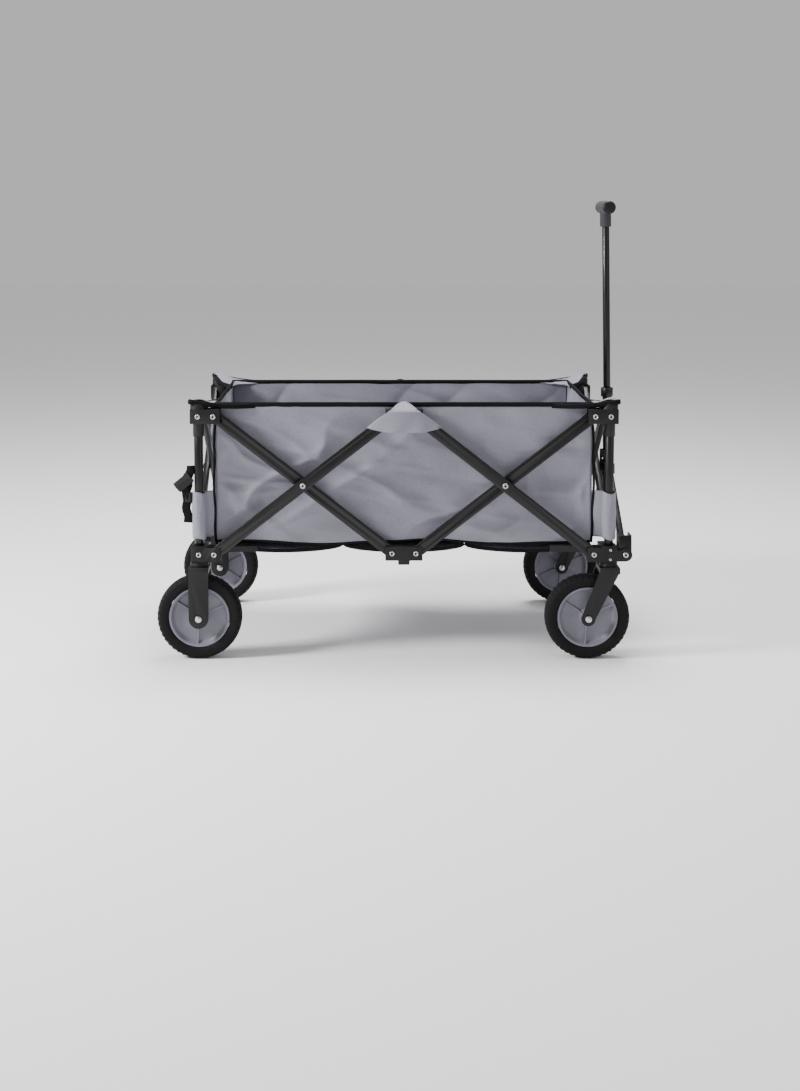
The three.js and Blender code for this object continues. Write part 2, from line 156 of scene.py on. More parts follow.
def make_weave():
    """Plain weave: crossed yarns along the cloth, with uneven dye."""
    group, given, result = effect_group(
        "Woven Yarn", [("Yarns", 420.0), ("Unevenness", 14.0)], ["Height", "Dye"]
    )
    place = group.nodes.new("ShaderNodeTexCoord")
    apart = group.nodes.new("ShaderNodeSeparateXYZ")
    group.links.new(place.outputs["Object"], apart.inputs[0])
    along = math_node(group, "ADD", apart.outputs["X"], apart.outputs["Y"])
    waves = []
    for run in (along, apart.outputs["Z"]):
        turned = math_node(group, "MULTIPLY", run, given.outputs["Yarns"])
        waves.append(math_node(group, "SINE", math_node(group, "MULTIPLY", turned, math.tau), 0))
    both = math_node(group, "MULTIPLY", waves[0], waves[1])
    group.links.new(math_node(group, "MULTIPLY_ADD", both, 0.5), result.inputs["Height"])
    uneven = noise_node(group, place.outputs["Object"], given.outputs["Unevenness"], 5.0)
    slub = noise_node(group, place.outputs["Object"], 260.0, 2.0)
    broad, fine = math_node(group, "MULTIPLY", uneven, 0.6), math_node(group, "MULTIPLY", slub, 0.4)
    mixed = math_node(group, "ADD", broad, fine)
    group.links.new(mixed, result.inputs["Dye"])
    return group


def make_moulded_skin():
    """Fine grain of a moulded or coated surface, with faint handling marks."""
    group, given, result = effect_group(
        "Moulded Skin", [("Grain", 900.0), ("Marks", 22.0)], ["Height", "Marks"]
    )
    place = group.nodes.new("ShaderNodeTexCoord")
    grain = noise_node(group, place.outputs["Object"], given.outputs["Grain"], 2.0)
    group.links.new(grain, result.inputs["Height"])
    marks = noise_node(group, place.outputs["Object"], given.outputs["Marks"], 6.0)
    group.links.new(marks, result.inputs["Marks"])
    return group


EFFECTS = {}


def effect(name):
    if name not in EFFECTS:
        EFFECTS[name] = {"weave": make_weave, "skin": make_moulded_skin}[name]()
    return EFFECTS[name]


def ramp(tree, value, low, high, span=(0.3, 0.7)):
    node = tree.nodes.new("ShaderNodeValToRGB")
    ends = node.color_ramp.elements
    ends[0].position, ends[1].position = span
    ends[0].color, ends[1].color = (*low, 1), (*high, 1)
    tree.links.new(value, node.inputs["Fac"])
    return node.outputs["Color"]


def finish_material(
    name, low, high, rough,
    metal=0.0, kind="skin", scale=None, bump=0.15, sheen=0.0, coat=0.0, gloss=0.3,
):
    """A surface whose colour, roughness and relief vary over it."""
    material = bpy.data.materials.new(name)
    material.use_nodes = True
    tree = material.node_tree
    shader = tree.nodes["Principled BSDF"]
    group = tree.nodes.new("ShaderNodeGroup")
    group.node_tree = effect(kind)
    if scale:
        for socket, value in zip(group.inputs, scale):
            socket.default_value = value
    tree.links.new(ramp(tree, group.outputs[1], low, high), shader.inputs["Base Color"])
    dull = [min(1.0, rough + 0.08)] * 3
    tree.links.new(ramp(tree, group.outputs[1], [rough - 0.08] * 3, dull), shader.inputs["Roughness"])
    relief = tree.nodes.new("ShaderNodeBump")
    relief.inputs["Strength"].default_value = bump
    relief.inputs["Distance"].default_value = 0.0006
    tree.links.new(group.outputs["Height"], relief.inputs["Height"])
    tree.links.new(relief.outputs["Normal"], shader.inputs["Normal"])
    shader.inputs["Metallic"].default_value = metal
    shader.inputs["Sheen Weight"].default_value = sheen
    shader.inputs["Coat Weight"].default_value = coat
    shader.inputs["Specular IOR Level"].default_value = gloss
    material.diffuse_color = (*high, 1)
    return material


def shaded(colour, factor):
    return [min(1.0, c * factor) for c in colour]


MATERIALS = {}


def material(name):
    """The named finish, made when it is first asked for."""
    if name in MATERIALS:
        return MATERIALS[name]
    c = bpy.context.scene.wagon_colours
    makers = {
        "cloth": (list(c.cloth_dark), list(c.cloth), 0.58,
                  dict(kind="weave", scale=(420, 9), bump=0.35, sheen=0.1, gloss=0.55)),
        "mat": (shaded(c.cloth_dark, 0.9), shaded(c.cloth, 0.9), 0.88,
                dict(kind="weave", scale=(380, 12), bump=0.5)),
        "binding": (shaded(c.binding, 0.7), shaded(c.binding, 1.6), 0.72,
                    dict(kind="weave", scale=(300, 30), bump=0.6, gloss=0.12)),
        "coat": (shaded(c.coat, 0.8), shaded(c.coat, 1.3), 0.36,
                 dict(scale=(700, 25), bump=0.06, coat=0.08, gloss=0.3)),
        "moulding": (shaded(c.moulding, 0.8), shaded(c.moulding, 1.5), 0.5,
                     dict(scale=(1100, 30), bump=0.2, gloss=0.3)),
        "rim": (shaded(c.rim, 0.85), shaded(c.rim, 1.15), 0.46, dict(scale=(900, 20), bump=0.12)),
        "tyre": (shaded(c.tyre, 0.7), shaded(c.tyre, 1.5), 0.78, dict(scale=(500, 40), bump=0.3, gloss=0.2)),
        "steel": (shaded(c.steel, 0.85), list(c.steel), 0.27, dict(metal=1.0, scale=(400, 60), bump=0.05)),
        "grip": (shaded(c.grip, 0.8), shaded(c.grip, 1.25), 0.62, dict(scale=(650, 30), bump=0.3)),
    }
    low, high, rough, more = makers[name]
    MATERIALS[name] = finish_material(name, low, high, rough, **more)
    return MATERIALS[name]


# ---- Mesh helpers ----
def new_piece(name, points, faces, look, slot, body, smooth=True):
    mesh = bpy.data.meshes.new(name)
    mesh.from_pydata([tuple(p) for p in points], [], faces)
    shape = bmesh.new()
    shape.from_mesh(mesh)
    bmesh.ops.remove_doubles(shape, verts=shape.verts, dist=1e-6)
    bmesh.ops.recalc_face_normals(shape, faces=shape.faces)
    shape.to_mesh(mesh)
    shape.free()
    mesh.polygons.foreach_set("use_smooth", [smooth] * len(mesh.polygons))
    mesh.materials.append(material(look))
    piece = bpy.data.objects.new(name, mesh)
    bpy.context.scene.collection.objects.link(piece)
    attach(piece, body)
    return piece


def joined(shapes):
    """Several (points, faces) lists as one."""
    points, faces = [], []
    for more_points, more_faces in shapes:
        start = len(points)
        points.extend(more_points)
        faces.extend([tuple(i + start for i in face) for face in more_faces])
    return points, faces


def grid_faces(rows, columns, wrap=False):
    last = columns if wrap else columns - 1
    faces = []
    for r in range(rows - 1):
        here, above = r * columns, (r + 1) * columns
        for c in range(last):
            beside = (c + 1) % columns
            faces.append((here + c, here + beside, above + beside, above + c))
    return faces


def tube_along(path, width, height=None, sides=10):
    """A rounded cord or tape along a line of points."""
    height = height or width
    points = []
    for i, here in enumerate(path):
        run = (Vector(path[min(i + 1, len(path) - 1)]) - Vector(path[max(i - 1, 0)])).normalized()
        up = Vector((0, 0, 1)) if abs(run.z) < 0.9 else Vector((1, 0, 0))
        across = run.cross(up).normalized()
        over = across.cross(run)
        for k in range(sides):
            turn = math.tau * k / sides
            points.append(Vector(here) + across * math.cos(turn) * width + over * math.sin(turn) * height)
    faces = grid_faces(len(path), sides, wrap=True)
    faces.append(tuple(range(sides)))
    faces.append(tuple(len(points) - 1 - k for k in range(sides)))
    return points, faces


def turned(profile, segments, centre, axis="y", ripple=None):
    """A profile of (radius, offset) turned round an axis through centre."""
    points = []
    for i, (radius, offset) in enumerate(profile):
        for k in range(segments):
            turn = math.tau * k / segments
            r = radius + (ripple(i, k) if ripple else 0)
            a, b = r * math.cos(turn), r * math.sin(turn)
            move = {"y": (a, offset, b), "z": (a, b, offset)}[axis]
            points.append(Vector(centre) + Vector(move))
    return points, grid_faces(len(profile), segments, wrap=True)


def solidify(piece, thick, offset=0.0):
    shell = piece.modifiers.new("Cloth Thickness", "SOLIDIFY")
    shell.thickness = thick
    shell.offset = offset
    return piece


def round_edges(piece, width=0.0012, segments=2):
    edge = piece.modifiers.new("Soft Edges", "BEVEL")
    edge.width = width
    edge.segments = segments
    edge.limit_method = "ANGLE"
    edge.angle_limit = math.radians(32)
    edge.harden_normals = True


def welded_smooth_group():
    """Joins a faceted mesh's loose faces and shades it round."""
    group = bpy.data.node_groups.new("Welded Smooth", "GeometryNodeTree")
    group.interface.new_socket("Geometry", in_out="INPUT", socket_type="NodeSocketGeometry")
    group.interface.new_socket("Geometry", in_out="OUTPUT", socket_type="NodeSocketGeometry")
    given, result = group.nodes.new("NodeGroupInput"), group.nodes.new("NodeGroupOutput")
    merge = group.nodes.new("GeometryNodeMergeByDistance")
    merge.inputs["Distance"].default_value = 1e-5
    shade = group.nodes.new("GeometryNodeSetShadeSmooth")
    group.links.new(given.outputs[0], merge.inputs["Geometry"])
    group.links.new(merge.outputs[0], shade.inputs["Geometry"])
    group.links.new(shade.outputs[0], result.inputs[0])
    return group


# ---- Frame ----
FRAME_LOOKS = [
    (("inner_bar", "outer_bar", "end_bar", "lower_post", "upper_post"), "coat", 0.0016),
    (("handle_arm", "handle_outer", "handle_inner", "handle_foot"), "coat", 0.0008),
    (("bottom_bracket", "top_bracket", "hub_", "handle_head", "handle_clip"), "moulding", 0.0014),
    (("fork",), "moulding", 0.0013),
    (("axle",), "steel", 0.0014),
]


class WAGON_OT_frame(bpy.types.Operator):
    """Finish the bars, posts, brackets, forks and bolts"""

    bl_idname = "wagon.frame"
    bl_label = "Frame"

    def execute(self, context):
        smooth = welded_smooth_group()
        for name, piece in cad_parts.items():
            for starts, look, width in FRAME_LOOKS:
                if not name.startswith(starts):
                    continue
                piece.modifiers.new("Welded Smooth", "NODES").node_group = smooth
                round_edges(piece, width)
                for slot in piece.material_slots:
                    slot.link = "OBJECT"
                    slot.material = material(look)
        return {"FINISHED"}


# ---- Rivets ----
RIVET = (0.0058, 0.0028)  # radius and height of a head
CROSS_RIVET = (0.0062, 0.0028)
HANDLE_RIVET = (0.0062, 0.003)
SMALL_RIVET = (0.003, 0.0016)
PIVOT_INSET = 0.032  # from a post in to its bars' pivot
HANDLE_REACH = 0.034  # from a front post out to the handle's pivot
CROSS_X = 0.211  # from the middle of a side to each crossing
CROSS_OUT = 0.016  # from the posts' line out to a crossing's head
HUB_PIVOT = 0.025  # from the middle of a hub to each of its pivots
HUB_OUT = 0.005  # from the posts' line out to a bottom hub's face


def rivet_head(centre, size, sign):
    """A tubular rivet's rolled head, open in the middle."""
    radius, height = size
    shares = [(1, 0), (0.97, 0.45), (0.8, 0.95), (0.62, 1), (0.46, 0.8), (0.36, 0.3), (0.34, 0), (1, 0)]
    return turned([(radius * r, sign * height * h) for r, h in shares], 24, centre)


class WAGON_OT_rivets(bpy.types.Operator):
    """Set the rolled rivet heads on the brackets, hubs and crossings"""

    bl_idname = "wagon.rivets"
    bl_label = "Rivets"

    def execute(self, context):
        for e, ex, s, sy in CORNERS:
            post = POST[e, s]
            face = sy * BRACKET_FACE
            pivot_x = post.x - ex * PIVOT_INSET
            for level, z in (("lower", LOW_Z), ("upper", TOP_Z)):
                heads = [rivet_head((x, face, z), RIVET, sy) for x in (pivot_x, post.x)]
                if level == "lower" and e == "front":
                    pair = [(post.x + 0.002, face, z + d) for d in (-0.010, 0.010)]
                    heads[1:] = [rivet_head(place, SMALL_RIVET, sy) for place in pair]
                    heads.append(rivet_head((post.x + HANDLE_REACH, face, z), HANDLE_RIVET, sy))
                new_piece(f"rivets_{level}_{e}_{s}", *joined(heads), "steel", "bolt_steel", f"{level}_{e}_{s}")
            crossing = (MID_X + ex * CROSS_X, sy * (POST_Y + CROSS_OUT), (LOW_Z + TOP_Z) / 2)
            cross = rivet_head(crossing, CROSS_RIVET, sy)
            new_piece(f"rivet_cross_{e}_{s}", *cross, "steel", "bolt_steel", f"outer_{e}_{s}")
        for s, sy in SIDES.items():
            for level, z, out in (("bottom", LOW_Z, POST_Y + HUB_OUT), ("top", TOP_Z, BRACKET_FACE)):
                heads = [rivet_head((MID_X + d, sy * out, z), RIVET, sy) for d in (-HUB_PIVOT, HUB_PIVOT)]
                new_piece(f"rivets_hub_{level}_{s}", *joined(heads), "steel", "bolt_steel", f"hub_{level}_{s}_body")
        return {"FINISHED"}


# ---- Wheels ----
TYRE_SHAPE = [
    (64.2, -14), (66, -16), (72, -17.8), (79, -18.4), (83, -18), (86, -16.2), (88, -12.5), (88.8, -7), (89, 0),
    (88.8, 7), (88, 12.5), (86, 16.2), (83, 18), (79, 18.4), (72, 17.8), (66, 16), (64.2, 14), (64.2, -14),
]
RIM_SHAPE = [
    (4.6, -24), (12, -24), (14, -22.5), (15.5, -10), (18, -7), (36, -5), (52, -6), (56, -9), (58, -14), (60, -15.3),
    (63.4, -15.3), (63.4, 15.3), (60, 15.3), (58, 14), (56, 9), (52, 6), (36, 5), (18, 7), (15.5, 10), (14, 22.5),
    (12, 24), (4.6, 24), (4.6, -24),
]
TREAD_BLOCKS = 44
TYRE_SEGMENTS = TREAD_BLOCKS * 4
RIM_RIBS = 3  # on the outer face
BACK_RIBS = 6  # on the inner face
RIB_START = 0.45  # turn of the first rib, in radians


def millimetres(profile):
    return [(r / 1000, h / 1000) for r, h in profile]


def rim_rib(centre, turn, side):
    """A thin rib from the hub to the rim on one face."""
    points = []
    for radius, top in ((0.014, 0.016), (0.030, 0.0095), (0.045, 0.009), (0.0575, 0.013)):
        for across in (-0.0016, 0.0016):
            for height in (0.003, top):
                x = radius * math.cos(turn) - across * math.sin(turn)
                z = radius * math.sin(turn) + across * math.cos(turn)
                points.append(Vector(centre) + Vector((x, side * height, z)))
    faces = []
    for i in range(3):
        a = i * 4
        faces += [
            (a, a + 1, a + 5, a + 4), (a + 2, a + 6, a + 7, a + 3),
            (a + 1, a + 3, a + 7, a + 5), (a, a + 4, a + 6, a + 2),
        ]
    faces += [(0, 2, 3, 1), (12, 13, 15, 14)]
    return points, faces


class WAGON_OT_wheels(bpy.types.Operator):
    """Turn the treaded tyres and ribbed rims"""

    bl_idname = "wagon.wheels"
    bl_label = "Wheels"

    def execute(self, context):
        tread = context.scene.wagon_sizes.tread

        def groove(ring, step):
            """Cuts across the tread, set half a block on at the shoulders."""
            edge = 4 <= ring <= 12
            shoulder = ring in (5, 6, 10, 11)
            cut = (step % 4 == 0) if not shoulder else ((step + 2) % 4 < 2)
            return -tread if edge and cut and ring != 8 else 0

        for e, _, s, sy in CORNERS:
            centre = middle(f"axle_{e}_{s}")
            tyre = turned(millimetres(TYRE_SHAPE), TYRE_SEGMENTS, centre, ripple=groove)
            piece = new_piece(f"tyre_tread_{e}_{s}", *tyre, "tyre", "rubber_tread", f"wheel_{e}_{s}")
            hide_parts(f"tyre_{e}_{s}")
            rim = [turned(millimetres(RIM_SHAPE), 96, centre)]
            rim += [rim_rib(centre, math.tau * (i / RIM_RIBS) + RIB_START, sy) for i in range(RIM_RIBS)]
            rim += [rim_rib(centre, math.tau * i / BACK_RIBS + RIB_START, -sy) for i in range(BACK_RIBS)]
            piece = new_piece(f"rim_ribbed_{e}_{s}", *joined(rim), "rim", "grey_plastic", f"wheel_{e}_{s}")
            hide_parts(f"rim_{e}_{s}")
            round_edges(piece, 0.0006)
        return {"FINISHED"}


# ---- Grip ----
NECK_LEAN = math.radians(1.25)


class WAGON_OT_grip(bpy.types.Operator):
    """Shape the T grip with its neck and end caps"""

    bl_idname = "wagon.grip"
    bl_label = "Grip"

    def execute(self, context):
        low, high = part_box("handle_grip")
        centre = Vector(((low.x + high.x) / 2 - 0.0003, 0, high.z - 0.0147))
        half = (high.y - low.y) / 2
        body = [(1e-5, -half + 0.006), (0.0138, -half + 0.006)]
        for i in range(31):
            ribbed = 0.0143 + 0.0002 * math.cos(i * math.pi)
            body.append((ribbed, -half + 0.007 + i * (half * 2 - 0.014) / 30))
        body += [(0.0138, half - 0.006), (1e-5, half - 0.006)]
        neck = [
            (0.0084, -0.0425), (0.0118, -0.0425), (0.0123, -0.040), (0.0123, -0.016),
            (0.0135, -0.010), (0.0125, -0.006), (0.0084, -0.006), (0.0084, -0.0425),
        ]
        points, faces = turned(neck, 40, (0, 0, 0), "z")
        points = [Vector((p.x - p.z * math.sin(NECK_LEAN), p.y, p.z)) + centre for p in points]
        shape = joined([turned(body, 40, centre), (points, faces)])
        piece = new_piece("grip_bar", *shape, "grip", "soft_grip", "telescope")
        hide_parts("handle_grip")
        round_edges(piece, 0.0008)
        caps = []
        for sign in (-1, 1):
            cap = [(1e-5, 0), (0.0095, 0), (0.0132, -0.0018), (0.0144, -0.0045), (0.0144, -0.0065), (1e-5, -0.0065)]
            caps.append(turned([(r, sign * (half + h)) for r, h in cap], 40, centre))
        new_piece("grip_caps", *joined(caps), "moulding", "black_plastic", "telescope")
        return {"FINISHED"}


# ---- Basket cloth ----
SEAM_STEPS = 60
TAPE_DROP = 0.0035  # from the rim down to the middle of its tape
TAPE_HALF = 0.0029  # half the tape's thickness over the cloth


def fold_side(piece):
    """Gives a side wall or its trim a mesh of its own."""
    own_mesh(piece)


def fold_end(piece):
    """Gives an end wall or its trim a mesh of its own."""
    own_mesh(piece)


def fold_strip(piece):
    """Gives a floor strip's pad, cloth or tape a mesh of its own."""
    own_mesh(piece)


def fold_line(along, up, seed, slope, pitch):
    """A sharp-crested pull line across the cloth, running at a slope."""
    across = along * pitch + up * slope
    wander = 0.5 * noise.noise(Vector((along * 3, up * 3, seed)))
    crest = 1 - abs(noise.noise(Vector((across + wander, seed, up * 0.8)))) * 3.2
    return max(0.0, crest) ** 2


def creases(along, up, seed, depth):
    """How far a hung wall stands in or out: slack between its seams, with a few pulled folds."""
    slack = math.sin(math.pi * min(1, max(0, up)))
    value = 0.55 * noise.noise(Vector((along * 6, up * 2.0, seed)))
    value += 0.30 * noise.noise(Vector((along * 15 + up * 4, up * 5, seed + 7)))
    value += 0.50 * fold_line(along, up, seed + 11, 2.4, 5.0) * (0.4 + 0.6 * slack)
    value += 0.42 * fold_line(along, up, seed + 17, -2.1, 6.5) * (0.4 + 0.6 * slack)
    value += 0.22 * fold_line(along, up, seed + 23, 5.5, 3.0) * slack
    value += 0.16 * math.sin(along * 31 + 3 * up + seed) * (1 - up) ** 2
    return min(CLOTH_ROOM, depth * (value - 0.45) * (0.25 + 0.75 * slack))


def wall_out(along, up, half, seed, depth):
    """Creases, eased to nothing at the wall's two upright seams."""
    ease = min(1.0, (1 - abs(along / half)) * 12)
    return creases(along, up, seed, depth) * ease


def lower_edge(along, seed):
    """The wavy lower hem of a wall."""
    return 0.0035 * math.sin(along * 15 + seed) + 0.003 * noise.noise(Vector((along * 9, seed, 0)))


def hung_wall(half, seed, depth, columns=190, rows=72):
    """Points of a wall as (along, out, z) with its lower hem and creases."""
    points = []
    for r in range(rows):
        up = r / (rows - 1)
        for c in range(columns):
            share = 2 * c / (columns - 1) - 1
            along = half * share
            low = WALL_LOW + lower_edge(along, seed)
            out = wall_out(along, up, half, seed, depth)
            pulled = 0.0022 * math.sin(math.pi * up) * (1 if share > 0 else -1) * max(0, abs(share) - 0.9) * 10
            points.append((along - pulled, out, low + (WALL_TOP - low) * up))
    return points, grid_faces(rows, columns)


def seam_cords(half, seed, depth, sizes):
    """A wall's rim tape and hem cord, each as a line, half its width and half its height."""
    tape, hem = [], []
    for i in range(SEAM_STEPS + 1):
        along = half * (2 * i / SEAM_STEPS - 1)
        tape.append((along, wall_out(along, 1, half, seed, depth), WALL_TOP - TAPE_DROP))
        hem.append((along, wall_out(along, 0, half, seed, depth), WALL_LOW + lower_edge(along, seed)))
    return [(tape, TAPE_HALF, sizes.tape / 2), (hem, sizes.piping, sizes.piping)]


class WAGON_OT_basket(bpy.types.Operator):
    """Hang the four cloth walls with their tape and piping"""

    bl_idname = "wagon.basket"
    bl_label = "Basket"

    def execute(self, context):
        sizes = context.scene.wagon_sizes
        for s, sy in SIDES.items():
            def beside(along, out, z):
                return Vector((MID_X + along, sy * (WALL_Y + out), z))

            self.wall(f"side_{s}", WALL_X, 2.0 + sy, beside, f"hub_top_{s}_body", fold_side, sizes)
        for e, ex in ENDS.items():
            def across(along, out, z):
                return Vector((MID_X + ex * (WALL_X + 0.6 * out), along, z))

            self.wall(f"end_{e}", WALL_Y, 9.0 + ex, across, f"upper_{e}_right", fold_end, sizes)
        self.corner_piping(sizes)
        return {"FINISHED"}

    def wall(self, name, half, seed, place, body, fold, sizes):
        depth = sizes.crease
        points, faces = hung_wall(half, seed, depth)
        piece = new_piece(f"cloth_{name}", [place(*p) for p in points], faces, "cloth", "grey_fabric", body)
        solidify(piece, sizes.cloth_thick)
        if name == "side_right":  # one wall stands for the whole basket
            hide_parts("basket")
        shapes = []
        for line, width, height in seam_cords(half, seed, depth, sizes):
            shapes.append(tube_along([place(*p) for p in line], width, height))
        trim = new_piece(f"tape_{name}", *joined(shapes), "binding", "grey_fabric", body)
        fold(piece)
        fold(trim)

    def corner_piping(self, sizes):
        """A cord down each corner, bulging a little where the wall is pulled."""
        for e, ex, s, sy in CORNERS:
            line = []
            for i in range(25):
                up = i / 24
                bulge = 0.0035 * math.sin(math.pi * min(1, up * 1.1)) + 0.001 * math.sin(up * 19)
                x, y = MID_X + ex * (WALL_X + bulge), sy * (WALL_Y + 0.001)
                line.append(Vector((x, y, WALL_LOW + up * (WALL_TOP - WALL_LOW))))
            shape = tube_along(line, sizes.piping)
            piece = new_piece(f"piping_{e}_{s}", *shape, "binding", "grey_fabric", f"upper_{e}_{s}")


SLEEVE_LOW = 0.254
SLEEVE_TALL = 0.098


class WAGON_OT_sleeves(bpy.types.Operator):
    """Wrap the cloth sleeves round the posts"""

    bl_idname = "wagon.sleeves"
    bl_label = "Post sleeves"

    def execute(self, context):
        for e, ex, s, sy in CORNERS:
            post = POST[e, s]
            rows, steps = 24, 40
            points = []
            for r in range(rows):
                up = r / (rows - 1)
                for k in range(steps):
                    turn = math.tau * k / steps
                    a, b = math.cos(turn), math.sin(turn)
                    fold = 0.0011 * noise.noise(Vector((a * 2, b * 2, up * 5 + ex + 3 * sy)))
                    radius = 0.0134 + fold + 0.0008 * math.sin(math.pi * up)
                    height = SLEEVE_LOW + SLEEVE_TALL * up + 0.002 * math.sin(turn * 2 + ex)
                    points.append(Vector((post.x + radius * a, post.y + radius * b, height)))
            web = []
            for r in range(rows):
                up = r / (rows - 1)
                for k in range(6):
                    share = k / 5
                    x = post.x - ex * (0.009 + share * (abs(post.x - MID_X) - 0.009 - WALL_X))
                    y = post.y - sy * (0.010 + share * (POST_Y - 0.010 - WALL_Y))
                    web.append(Vector((x, y + 0.001 * math.sin(up * 9), SLEEVE_LOW + SLEEVE_TALL * up)))
            shape = joined([(points, grid_faces(rows, steps, wrap=True)), (web, grid_faces(rows, 6))])
            piece = new_piece(f"sleeve_{e}_{s}", *shape, "cloth", "grey_fabric", f"upper_{e}_{s}")
            solidify(piece, 0.0012)
        return {"FINISHED"}


FLAP_HEM = 0.485  # height of a flap's lower edge
FLAP_OUT = 0.2446  # how far out a flap hangs, clear of the hub and its rivets


class WAGON_OT_flaps(bpy.types.Operator):
    """Hang a curved flap over the middle hub of each side"""

    bl_idname = "wagon.flaps"
    bl_label = "Hub flaps"

    def execute(self, context):
        for s, sy in SIDES.items():
            columns, rows = 48, 30
            points = []
            for r in range(rows):
                down = r / (rows - 1)
                for c in range(columns):
                    share = 2 * c / (columns - 1) - 1
                    half = 0.012 + 0.066 * down ** 0.9
                    x = half * share
                    peak = WALL_TOP + 0.003 - 0.004 * abs(share) ** 2 * (1 - down)
                    hem = FLAP_HEM - 0.006 * (1 - abs(share) ** 2) + 0.004 * abs(share) ** 3
                    z = peak + (hem - peak) * down
                    out = WALL_Y + 0.004 + (FLAP_OUT - WALL_Y - 0.004) * math.sin(min(1.0, down * 3.2) * math.pi / 2)
                    out -= 0.012 * abs(share) ** 3 * down
                    out += 0.0010 * math.sin(x * 120 + down * 4) * down
                    points.append(Vector((MID_X + x, sy * out, z)))
            faces = grid_faces(rows, columns)
            piece = new_piece(f"flap_{s}", points, faces, "cloth", "grey_fabric", f"hub_top_{s}_body")
            solidify(piece, 0.0014)
            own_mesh(piece)
        return {"FINISHED"}


POCKET_SPREAD = 0.00045  # in square metres, how widely a pocket rises over its post


class WAGON_OT_pockets(bpy.types.Operator):
    """Pull the rim out over each post in a taped corner pocket"""

    bl_idname = "wagon.pockets"
    bl_label = "Corner pockets"

    def execute(self, context):
        for e, ex, s, sy in CORNERS:
            post = POST[e, s]
            tip = Vector((post.x + ex * 0.0175, post.y + sy * 0.0165, WALL_TOP + 0.004))
            side = Vector((MID_X + ex * (WALL_X - 0.085), sy * (WALL_Y - 0.003), WALL_TOP - 0.006))
            end = Vector((MID_X + ex * (WALL_X - 0.003), sy * (WALL_Y - 0.075), WALL_TOP - 0.006))
            inner = Vector((MID_X + ex * (WALL_X - 0.008), sy * (WALL_Y - 0.008), WALL_TOP - 0.012))
            count = 26
            points = []
            for i in range(count):
                for j in range(count):
                    u, v = i / (count - 1), j / (count - 1)
                    place = inner * (1 - u) * (1 - v) + side * u * (1 - v) + end * (1 - u) * v + tip * u * v
                    cap = math.exp(-((place.x - post.x) ** 2 + (place.y - post.y) ** 2) / POCKET_SPREAD)
                    fold = 0.0016 * noise.noise(Vector((place.x * 60, place.y * 60, ex + sy)))
                    points.append(place + Vector((0, 0, 0.0105 * cap + fold * 4 * u * (1 - u) + 0.001)))
            body = f"upper_{e}_{s}"
            cloth = new_piece(f"pocket_{e}_{s}", points, grid_faces(count, count), "cloth", "grey_fabric", body)
            solidify(cloth, 0.0014)
            edges = []
            for start, bow in ((side, Vector((0, sy * 0.006, 0))), (end, Vector((ex * 0.006, 0, 0)))):
                line = []
                for i in range(22):
                    t = i / 21
                    dip = 0.004 * math.sin(math.pi * t) - 0.0035 * t
                    line.append(start + (tip - start) * t + bow * math.sin(math.pi * t) - Vector((0, 0, dip)))
                edges.append(tube_along(line, 0.0024, 0.0056))
            tape = new_piece(f"pocket_tape_{e}_{s}", *joined(edges), "binding", "grey_fabric", body)
        return {"FINISHED"}


class WAGON_OT_strap(bpy.types.Operator):
    """Loop the webbing strap and buckle at the rear"""

    bl_idname = "wagon.strap"
    bl_label = "Strap"

    def execute(self, context):
        x = POST["rear", "right"].x - 0.012
        y = -POST_Y - 0.002
        tail, around = [], []
        for t in range(24):
            sway = x - 0.004 - 0.010 * math.sin(t / 9) + 0.0015 * math.sin(t)
            tail.append(Vector((sway, y + 0.003 * math.sin(t / 5), 0.408 - 0.0052 * t)))
        for t in range(18):
            loop = x + 0.002 - 0.021 * math.sin(t / 17 * math.pi)
            around.append(Vector((loop, y - 0.004, 0.402 - 0.004 * t)))
        shape = joined([tube_along(tail, 0.0012, 0.0095), tube_along(around, 0.0012, 0.0085)])
        strap = new_piece("strap", *shape, "binding", "grey_fabric", "upper_rear_right")
        block = [Vector((x - 0.004 - 0.0075 * i, y - 0.006, 0.386 - 0.0062 * i)) for i in range(5)]
        clip = [Vector((x - 0.006, y - 0.002, 0.352 - 0.007 * i)) for i in range(4)]
        shape = joined([tube_along(block, 0.0042, 0.0125, 4), tube_along(clip, 0.004, 0.0115, 4)])
        buckle = new_piece("buckle", *shape, "moulding", "black_plastic", "upper_rear_right", smooth=False)
        round_edges(buckle, 0.0015)
        return {"FINISHED"}


# ---- Floor ----
PAD_HALF = 0.192  # half the padded floor's width
SLING_HALF = 0.1965  # half the width of the cloth under it
SLING_SAG = 0.016
# Each strip's name, start, end, body, and the line across the wagon that it gathers to
FLOOR_STRIPS = [
    ("rear", -0.386, -0.1295, "upper_rear_right", -0.1834),
    ("middle", -0.1275, 0.1275, "hub_top_right_body", -0.142),
    ("front", 0.1295, 0.386, "upper_front_right", -0.1006),
]


